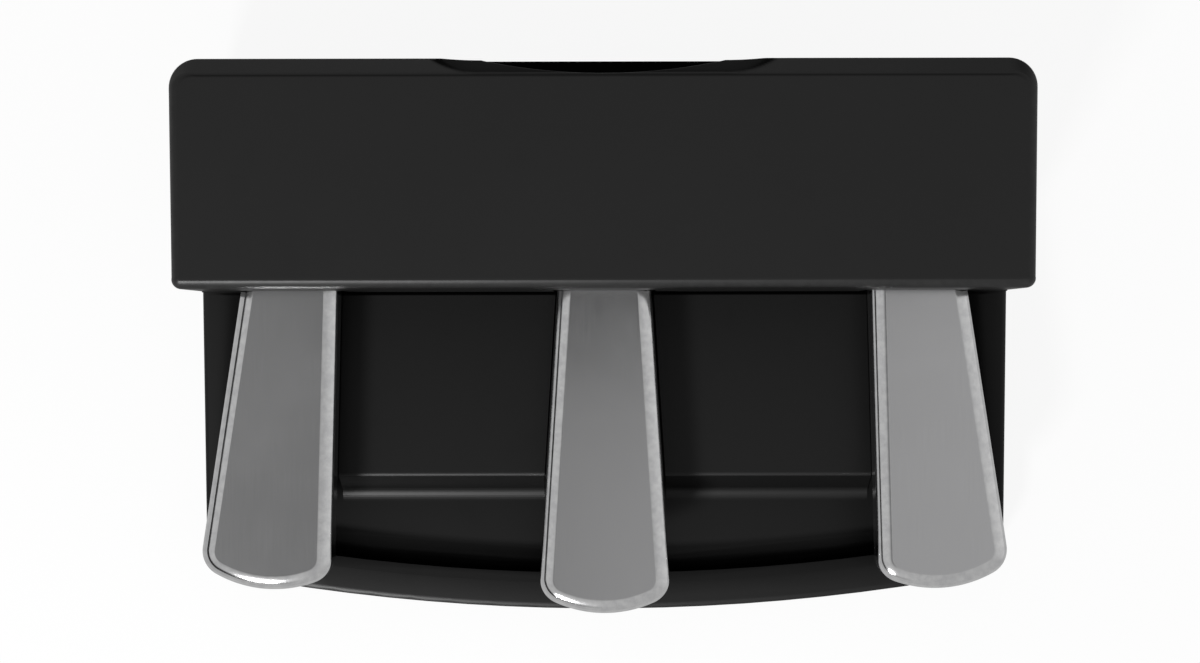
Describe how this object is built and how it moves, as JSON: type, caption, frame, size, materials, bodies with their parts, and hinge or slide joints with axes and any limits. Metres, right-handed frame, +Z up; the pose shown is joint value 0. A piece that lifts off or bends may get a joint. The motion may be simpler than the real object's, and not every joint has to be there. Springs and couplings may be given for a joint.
{
  "type": "piano pedal unit",
  "caption": "Floor pedal unit with sprung metal pedals hinged inside a black housing on a low base with a bowed front lip.",
  "frame": {"origin": "on the floor, under the centre of the unit's outline", "axes": "+X to the player's right, +Y away from the player, +Z up"},
  "size_m": [0.25, 0.166, 0.0717],
  "materials": {
    "pedal_metal": "satin",
    "housing_moulding": "fine texture",
    "base_moulding": "fine texture",
    "inner_moulding": "satin",
    "plated_steel": "zinc plated",
    "felt": "pressed felt",
    "rubber": "matt",
    "circuit_board": "solder mask"
  },
  "bodies": {
    "frame": {"ballast_plate": "plated_steel", "base_tray": "base_moulding", "bracket_centre": "plated_steel", "bracket_left": "plated_steel", "bracket_right": "plated_steel", "cable_gland": "rubber", "foot_front_left": "rubber", "foot_front_right": "rubber", "foot_rear_left": "rubber", "foot_rear_right": "rubber", "pin_centre": "plated_steel", "pin_left": "plated_steel", "pin_right": "plated_steel", "rest_felt_centre": "felt", "rest_felt_left": "felt", "rest_felt_right": "felt", "screw_front_left": "plated_steel", "screw_front_right": "plated_steel", "screw_rear_left": "plated_steel", "screw_rear_right": "plated_steel", "sensor_board_centre": "circuit_board", "sensor_board_left": "circuit_board", "sensor_board_right": "circuit_board", "sensor_centre": "inner_moulding", "sensor_left": "inner_moulding", "sensor_right": "inner_moulding", "spring_centre": "plated_steel", "spring_left": "plated_steel", "spring_right": "plated_steel", "stop_pad_centre": "rubber", "stop_pad_left": "rubber", "stop_pad_right": "rubber", "upper_housing": "housing_moulding"},
    "pedal_left": {"arm_left": "inner_moulding", "bush_left": "inner_moulding", "pedal_left": "pedal_metal"},
    "plunger_left": {"plunger_left": "inner_moulding"},
    "pedal_centre": {"arm_centre": "inner_moulding", "bush_centre": "inner_moulding", "pedal_centre": "pedal_metal"},
    "plunger_centre": {"plunger_centre": "inner_moulding"},
    "pedal_right": {"arm_right": "inner_moulding", "bush_right": "inner_moulding", "pedal_right": "pedal_metal"},
    "plunger_right": {"plunger_right": "inner_moulding"}
  },
  "joints": [
    {"name": "press_left", "type": "hinge", "parent": "frame", "child": "pedal_left", "pos_m": [-0.0905, 0.069, 0.031], "axis": [0.9962, -0.0872, 0], "range_deg": [0, 4.8], "stiffness_Nm_per_rad": 5.3, "springref_deg": -9.74, "deforming": ["spring_left"]},
    {"name": "follow_left", "type": "slide", "parent": "frame", "child": "plunger_left", "axis": [0, 0, -1], "range_m": [0, 0.0012]},
    {"name": "press_centre", "type": "hinge", "parent": "frame", "child": "pedal_centre", "pos_m": [0, 0.062, 0.031], "axis": [1, 0, 0], "range_deg": [0, 4.8], "stiffness_Nm_per_rad": 5.3, "springref_deg": -9.74, "deforming": ["spring_centre"]},
    {"name": "follow_centre", "type": "slide", "parent": "frame", "child": "plunger_centre", "axis": [0, 0, -1], "range_m": [0, 0.0012]},
    {"name": "press_right", "type": "hinge", "parent": "frame", "child": "pedal_right", "pos_m": [0.0905, 0.069, 0.031], "axis": [0.9962, 0.0872, 0], "range_deg": [0, 4.8], "stiffness_Nm_per_rad": 5.3, "springref_deg": -9.74, "deforming": ["spring_right"]},
    {"name": "follow_right", "type": "slide", "parent": "frame", "child": "plunger_right", "axis": [0, 0, -1], "range_m": [0, 0.0012]}
  ],
  "couplings": [
    {"joint": "follow_left", "follows": "press_left", "m_per_rad": 0.014},
    {"joint": "follow_centre", "follows": "press_centre", "m_per_rad": 0.014},
    {"joint": "follow_right", "follows": "press_right", "m_per_rad": 0.014}
  ]
}
